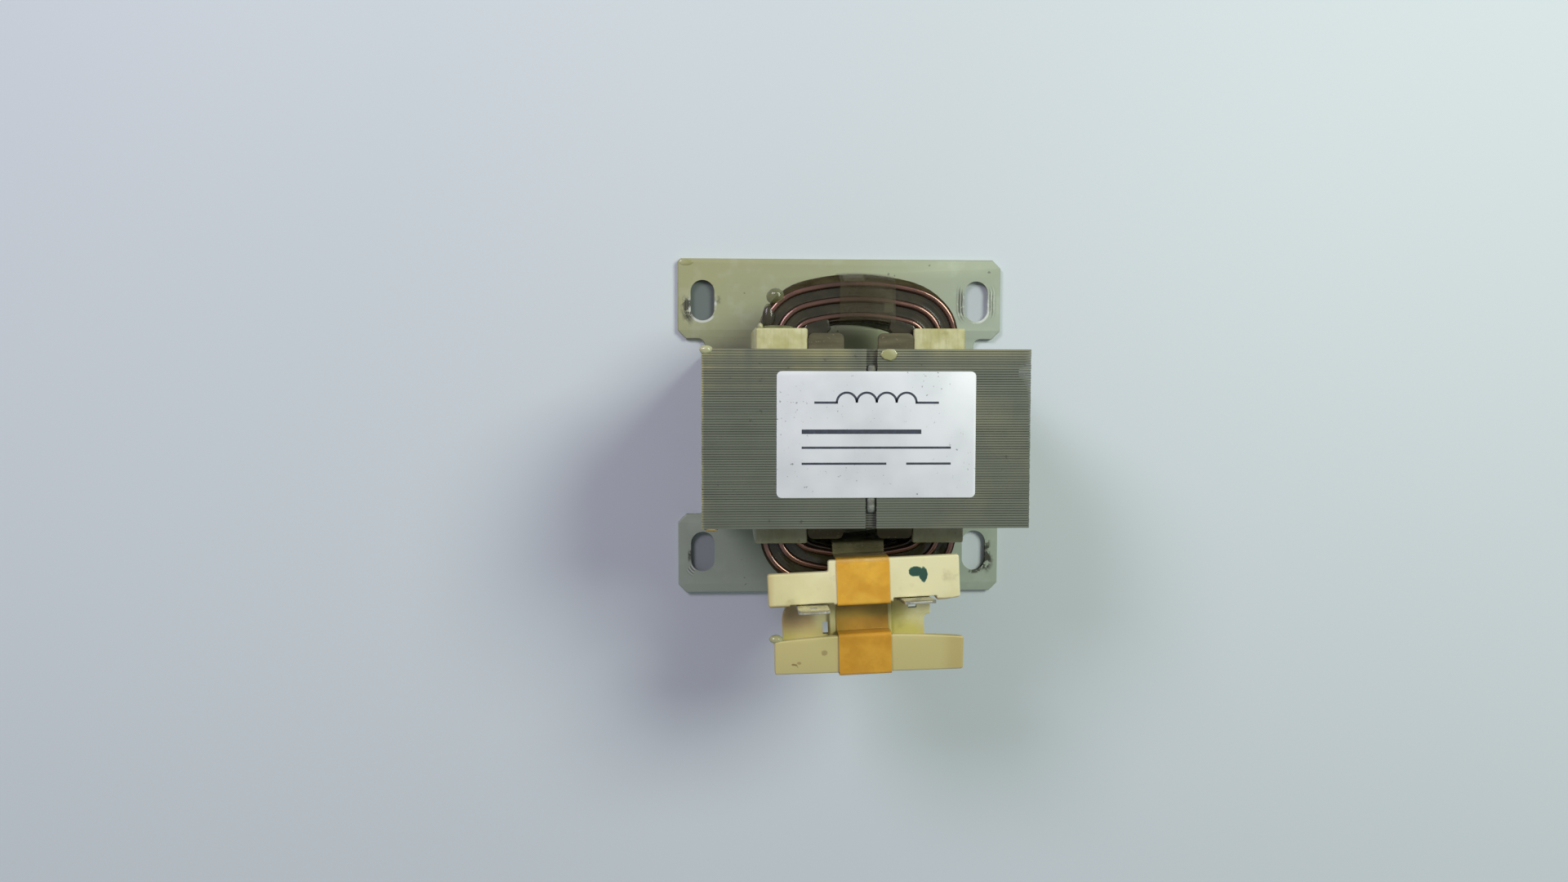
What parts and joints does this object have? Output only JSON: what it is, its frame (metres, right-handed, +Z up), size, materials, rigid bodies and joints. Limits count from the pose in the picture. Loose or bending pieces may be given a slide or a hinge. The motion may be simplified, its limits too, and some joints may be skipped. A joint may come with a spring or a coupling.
{
  "type": "iron-core choke",
  "caption": "Laminated iron-core choke: welded sheet stack on a slotted base plate, a layer-wound coil on the centre leg and a taped terminal holder with blade tabs.",
  "frame": {"origin": "centre of the base plate's underside", "axes": "+Z up, away from the base plate; +X along the core's width; -Y towards the terminal holder"},
  "size_m": [0.079, 0.0904, 0.0599],
  "materials": {
    "plate_steel": "satin, thin yellow varnish",
    "core_sheet": "varnished sheet edges",
    "spacer_board": "laminated board, matt",
    "weld": "oxidised bead",
    "enamelled_wire": "dark enamel under varnish, glossy",
    "slot_insulation": "cream sheet, matt",
    "coil_tape": "amber film, varnished",
    "terminal_tape": "yellow film, satin",
    "holder_plastic": "cream moulding, satin",
    "tinned_brass": "tinned, bright",
    "sleeving": "varnished sleeving",
    "solder": "soft solder",
    "label_film": "white film, satin"
  },
  "bodies": {
    "root": {"base_plate": "plate_steel", "e_core": "core_sheet", "i_core": "core_sheet", "gap_spacer_centre": "spacer_board", "gap_spacer_left": "spacer_board", "gap_spacer_right": "spacer_board", "top_weld": "weld", "joint_weld_left": "weld", "joint_weld_right": "weld", "base_weld_left": "weld", "base_weld_right": "weld", "winding": "enamelled_wire", "lead_left": "enamelled_wire", "lead_right": "enamelled_wire", "slot_liner_left": "slot_insulation", "slot_liner_right": "slot_insulation", "slot_strip_left": "slot_insulation", "slot_strip_right": "slot_insulation", "coil_tape": "coil_tape", "terminal_tape": "terminal_tape", "terminal_block": "holder_plastic", "tab_left": "tinned_brass", "tab_right": "tinned_brass", "sleeve_left": "sleeving", "sleeve_right": "sleeving", "solder_left": "solder", "solder_right": "solder", "rating_label": "label_film"}
  },
  "joints": []
}
